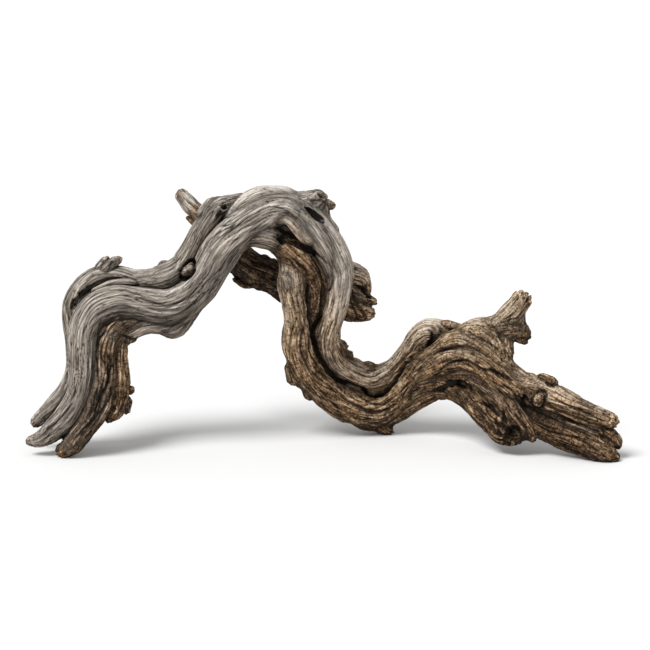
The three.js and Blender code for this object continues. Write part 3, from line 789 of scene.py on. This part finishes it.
def finish_skin(piece):
    """Carves the fibres into the skin, and stores what the wood's material reads."""
    mesh = piece.data
    flat = np.empty(len(mesh.vertices) * 3)
    mesh.vertices.foreach_get("co", flat)
    points = flat.reshape(-1, 3) / MM
    points = onto_wood(points, Survey(points))
    survey = Survey(points, keep_layers=True)
    out = unit(survey.way_out)
    skin = Skin(points, survey)
    skin.brown += BURIED_BROWN * smoothstep(230, 80, points[:, 2]) * smoothstep(-70, -20, points[:, 0])
    # Painted light on the highest parts.
    skin.tone += PAINTED_TOP_LIGHT * smoothstep(185, 240, points[:, 2])
    crack_depth, crack_dark = cracks(points)
    skin.height -= SEAM_DEPTH * survey.seam + crack_depth
    # Painted shade where other wood covers the skin.
    painted_shade = covered(points, out)
    on_floor = smoothstep(2.5, 0.5, points[:, 2]) * smoothstep(-0.5, -0.9, out[:, 2])
    points = points + (out * skin.height[:, None] + skin.fray) * (1 - on_floor)[:, None]
    points[:, 2] = np.maximum(points[:, 2], 0)
    mesh.vertices.foreach_set("co", (points * MM).ravel())
    # Painted shade in the carved hollows and holes, made uneven by a noise.
    hollow = survey.carved * (HOLLOW_PAINTED_SHADE + 0.5 * noise(points / 4, 5))
    looks = {
        "tone": skin.tone,
        "split": np.maximum.reduce([skin.split, survey.seam * 0.8, crack_dark]),
        "painted_shade": np.maximum(painted_shade, hollow),
        "brown": skin.brown,
    }
    for name, values in looks.items():
        mesh.attributes.new(name, "FLOAT", "POINT").data.foreach_set("value", values)
    along_fibres = mesh.attributes.new("grain", "FLOAT_VECTOR", "POINT")
    along_fibres.data.foreach_set("vector", skin.grain.ravel())
    mesh.shade_smooth()
    mesh.update()




class Nodes:
    """Short calls for building a material out of shader nodes."""

    def __init__(self, material):
        self.tree = material.node_tree
        self.tree.nodes.clear()

    def add(self, kind, **settings):
        node = self.tree.nodes.new(kind)
        for name, value in settings.items():
            setattr(node, name, value)
        return node

    def feed(self, node, socket, value):
        """Links a socket's value in, or sets a constant on the node's own socket."""
        target = node.inputs[socket]
        if isinstance(value, bpy.types.NodeSocket):
            self.tree.links.new(value, target)
        else:
            target.default_value = value

    def attribute(self, name, output="Fac"):
        return self.add("ShaderNodeAttribute", attribute_name=name).outputs[output]

    def math(self, operation, *values, clamp=False):
        node = self.add("ShaderNodeMath", operation=operation, use_clamp=clamp)
        for socket, value in enumerate(values):
            self.feed(node, socket, value)
        return node.outputs[0]

    def noise(self, vector, scale, detail, roughness):
        stretched = self.add("ShaderNodeVectorMath", operation="MULTIPLY")
        self.feed(stretched, 0, vector)
        self.feed(stretched, 1, scale)
        node = self.add("ShaderNodeTexNoise")
        self.feed(node, "Vector", stretched.outputs[0])
        self.feed(node, "Scale", 1.0)
        self.feed(node, "Detail", detail)
        self.feed(node, "Roughness", roughness)
        return node.outputs["Fac"]

    def ramp(self, factor, stops):
        node = self.add("ShaderNodeValToRGB")
        ramp = node.color_ramp
        while len(ramp.elements) < len(stops):
            ramp.elements.new(0.5)
        for element, (place, colour) in zip(ramp.elements, stops):
            element.position = place
            element.color = (*colour, 1)
        self.feed(node, 0, factor)
        return node.outputs[0]

    def mix(self, factor, a, b):
        node = self.add("ShaderNodeMix", data_type="RGBA")
        self.feed(node, "Factor", factor)
        sockets = [s for s in node.inputs if s.type == "RGBA"]
        for socket, value in zip(sockets, (a, b)):
            if isinstance(value, bpy.types.NodeSocket):
                self.tree.links.new(value, socket)
            else:
                socket.default_value = (*value, 1)
        return next(s for s in node.outputs if s.type == "RGBA")


# Colours are linear: (place on the ramp, colour).
SILVER = [
    (0.0, (0.038, 0.030, 0.023)),
    (0.3, (0.150, 0.128, 0.106)),
    (0.55, (0.280, 0.247, 0.210)),
    (0.78, (0.450, 0.408, 0.358)),
    (1.0, (0.680, 0.633, 0.570)),
]
BROWN = [
    (0.0, (0.014, 0.008, 0.004)),
    (0.3, (0.073, 0.041, 0.020)),
    (0.55, (0.215, 0.125, 0.061)),
    (0.78, (0.440, 0.290, 0.163)),
    (1.0, (0.690, 0.535, 0.370)),
]
# The darkest ramp, mixed in where the brown value passes 1: painted shade on the rear branch and under the
# arch, and darker brown where the brown values add up past 1 elsewhere.
DARK_BROWN_AND_SHADE = [
    (0.0, (0.005, 0.003, 0.002)),
    (0.5, (0.026, 0.017, 0.011)),
    (1.0, (0.110, 0.080, 0.055)),
]
# The colour that the wood darkens towards by painted shade where other wood covers it and in the carved
# hollows, and in its cracks, splits and seams.
SHADE_AND_CRACK_DARK = (0.012, 0.008, 0.005)


def about_zero(n, value, strength):
    """A noise of 0 to 1, moved to lie round 0."""
    return n.math("MULTIPLY", n.math("SUBTRACT", value, 0.5), strength)


def line_mask(n, value, sharpness):
    """1 along the thin lines where a noise passes through its middle, elsewhere 0."""
    away = n.math("MULTIPLY", n.math("ABSOLUTE", n.math("SUBTRACT", value, 0.5)), sharpness)
    return n.math("SUBTRACT", 1.0, away, clamp=True)


# Noises drawn out along the fibres: waves in a millimetre along and across them, detail, roughness.
GRAIN_NOISES = {
    "streak": (0.014, 0.35, 3.0, 0.75),
    "fine": (0.055, 0.55, 2.0, 0.65),
    "knotty": (0.07, 0.2, 3.0, 0.7),
    "patch": (0.02, 0.06, 2.0, 0.5),
    "crack": (0.013, 0.3, 1.0, 0.5),
    "across": (0.17, 0.1, 2.0, 0.6),
    "pit": (0.22, 0.6, 1.0, 0.5),
}


def grain_noise(n, along, across, detail, roughness):
    return n.noise(n.attribute("grain", "Vector"), (along, across, across), detail, roughness)


def small_damage(n, noises):
    """Masks of the hairline cracks along the fibres, the cracks across the brown wood, and the pits."""
    in_patches = n.math("ADD", about_zero(n, noises["patch"], 6.0), 0.6, clamp=True)
    hairline = n.math("MULTIPLY", line_mask(n, noises["crack"], 16.0), in_patches)
    across = line_mask(n, noises["across"], 22.0)
    across = n.math("MULTIPLY", across, n.attribute("brown"), clamp=True)
    pit = n.math("MULTIPLY", n.math("SUBTRACT", noises["pit"], 0.62), 8.0, clamp=True)
    return hairline, across, pit


def wood_tone(n, noises, damage, upward):
    """How light the wood is at each point, from 0 to 1."""
    hairline, across, pit = damage
    brown = n.attribute("brown")
    streakiness = n.math("MULTIPLY_ADD", brown, -0.16, 0.48)
    tone = n.math("ADD", n.attribute("tone"), about_zero(n, noises["streak"], streakiness))
    tone = n.math("ADD", tone, about_zero(n, noises["fine"], 1.5))
    tone = n.math("ADD", tone, about_zero(n, noises["patch"], 0.5))
    tone = n.math("ADD", tone, n.math("MULTIPLY", about_zero(n, noises["knotty"], 1.1), brown))
    # The faces that look up are painted lighter and those that look down darker: painted light from above
    # and painted shade beneath.
    for value, weight in ((brown, 0.04), (upward, 0.17), (across, -0.3), (hairline, -0.35), (pit, -0.3)):
        tone = n.math("MULTIPLY_ADD", value, weight, tone)
    return n.math("MAXIMUM", tone, 0.0, clamp=True)


def wood_colour(n, noises, tone, upward):
    """The wood's colour: silver where the brown value is 0, brown where it is 1, and at 2 the darkest ramp,
    which is painted shade on the rear branch and under the arch and dark brown elsewhere.
    """
    brown = n.math("MULTIPLY_ADD", upward, -0.15, n.attribute("brown"))
    brown = n.math("ADD", brown, about_zero(n, noises["patch"], 0.9))
    brown = n.math("ADD", brown, about_zero(n, noises["streak"], 0.5))
    colour = n.mix(n.math("MINIMUM", brown, 1.0, clamp=True), n.ramp(tone, SILVER), n.ramp(tone, BROWN))
    colour = n.mix(n.math("SUBTRACT", brown, 1.0, clamp=True), colour, n.ramp(tone, DARK_BROWN_AND_SHADE))
    # Painted shade: the wood darkens towards one dark colour where other wood covers it and in the carved
    # hollows, and in the cracks, splits and seams.
    depth = n.math("MULTIPLY", n.math("ADD", n.attribute("painted_shade"), n.attribute("split")), 0.85)
    return n.mix(n.math("SUBTRACT", depth, 0.1, clamp=True), colour, SHADE_AND_CRACK_DARK)


FINEST_RELIEF = 0.0012


def wood_bump(n, noises, damage):
    """The finest relief, too small for the skin's mesh."""
    hairline, across, pit = damage
    bump = n.add("ShaderNodeBump")
    n.feed(bump, "Strength", 0.8)
    n.feed(bump, "Distance", FINEST_RELIEF)
    raised = n.math("ADD", noises["fine"], noises["streak"])
    sunken = n.math("ADD", n.math("ADD", hairline, pit), across)
    n.feed(bump, "Height", n.math("SUBTRACT", raised, sunken))
    return bump.outputs[0]


def wood_material():
    """Bare weathered wood: streaks along the fibres, from silver over brown to the darkest ramp of painted
    shade and dark brown, dark in the cracks, with painted shade in the hollows and covered places and
    painted light on the tops.
    """
    material = bpy.data.materials.new("weathered_wood")
    material.use_nodes = True
    n = Nodes(material)
    noises = {name: grain_noise(n, *waves) for name, waves in GRAIN_NOISES.items()}
    damage = small_damage(n, noises)
    facing = n.add("ShaderNodeSeparateXYZ")
    n.feed(facing, 0, n.add("ShaderNodeNewGeometry").outputs["Normal"])
    upward = facing.outputs["Z"]
    tone = wood_tone(n, noises, damage, upward)
    shader = n.add("ShaderNodeBsdfPrincipled")
    n.feed(shader, "Base Color", wood_colour(n, noises, tone, upward))
    n.feed(shader, "Roughness", n.math("MULTIPLY_ADD", noises["streak"], 0.2, 0.76))
    n.feed(shader, "Specular IOR Level", 0.18)
    n.feed(shader, "Normal", wood_bump(n, noises, damage))
    output = n.add("ShaderNodeOutputMaterial")
    n.feed(output, "Surface", shader.outputs[0])
    return material


def floor_material():
    material = bpy.data.materials.new("pale_floor")
    material.use_nodes = True
    shader = material.node_tree.nodes["Principled BSDF"]
    shader.inputs["Base Color"].default_value = (0.9, 0.9, 0.9, 1)
    shader.inputs["Roughness"].default_value = 0.9
    shader.inputs["Specular IOR Level"].default_value = 0.0
    return material


FLOOR_SIZE = 60.0


def add_floor():
    bpy.ops.mesh.primitive_plane_add(size=FLOOR_SIZE)
    floor = bpy.context.object
    floor.name = "floor"
    floor.data.materials.append(floor_material())


KEY_FROM = Vector((-0.55, -0.5, 1.0))
KEY_STRENGTH = 2.6
KEY_SOFTNESS = math.radians(28)
SKY_STRENGTH = 0.5


def add_light():
    key = bpy.data.lights.new("key", "SUN")
    key.energy = KEY_STRENGTH
    key.angle = KEY_SOFTNESS
    lamp = bpy.data.objects.new("key", key)
    lamp.rotation_euler = KEY_FROM.to_track_quat("Z", "Y").to_euler()
    bpy.context.scene.collection.objects.link(lamp)
    world = bpy.data.worlds.new("studio")
    world.use_nodes = True
    sky = world.node_tree.nodes["Background"]
    sky.inputs["Color"].default_value = (1, 1, 1, 1)
    sky.inputs["Strength"].default_value = SKY_STRENGTH
    bpy.context.scene.world = world
    bpy.context.scene.view_settings.view_transform = "Standard"


CAMERA_AIM = Vector((0.002, -0.011, 0.126))
CAMERA_DISTANCE = 2.2
CAMERA_ELEVATION = math.radians(12)
FRAME_WIDTH = 0.65  # metres seen across the picture at the aim


def add_camera():
    back = Vector((0, -math.cos(CAMERA_ELEVATION), math.sin(CAMERA_ELEVATION)))
    lens = bpy.data.cameras.new("camera")
    lens.lens = lens.sensor_width * CAMERA_DISTANCE / FRAME_WIDTH
    camera = bpy.data.objects.new("camera", lens)
    camera.location = CAMERA_AIM + back * CAMERA_DISTANCE
    camera.rotation_euler = back.to_track_quat("Z", "Y").to_euler()
    bpy.context.scene.collection.objects.link(camera)
    bpy.context.scene.camera = camera


def main():
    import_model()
    piece = new_piece()
    finish_skin(piece)
    piece.data.materials.append(wood_material())
    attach(piece, "root")
    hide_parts("driftwood")
    add_floor()
    add_light()
    add_camera()


main()
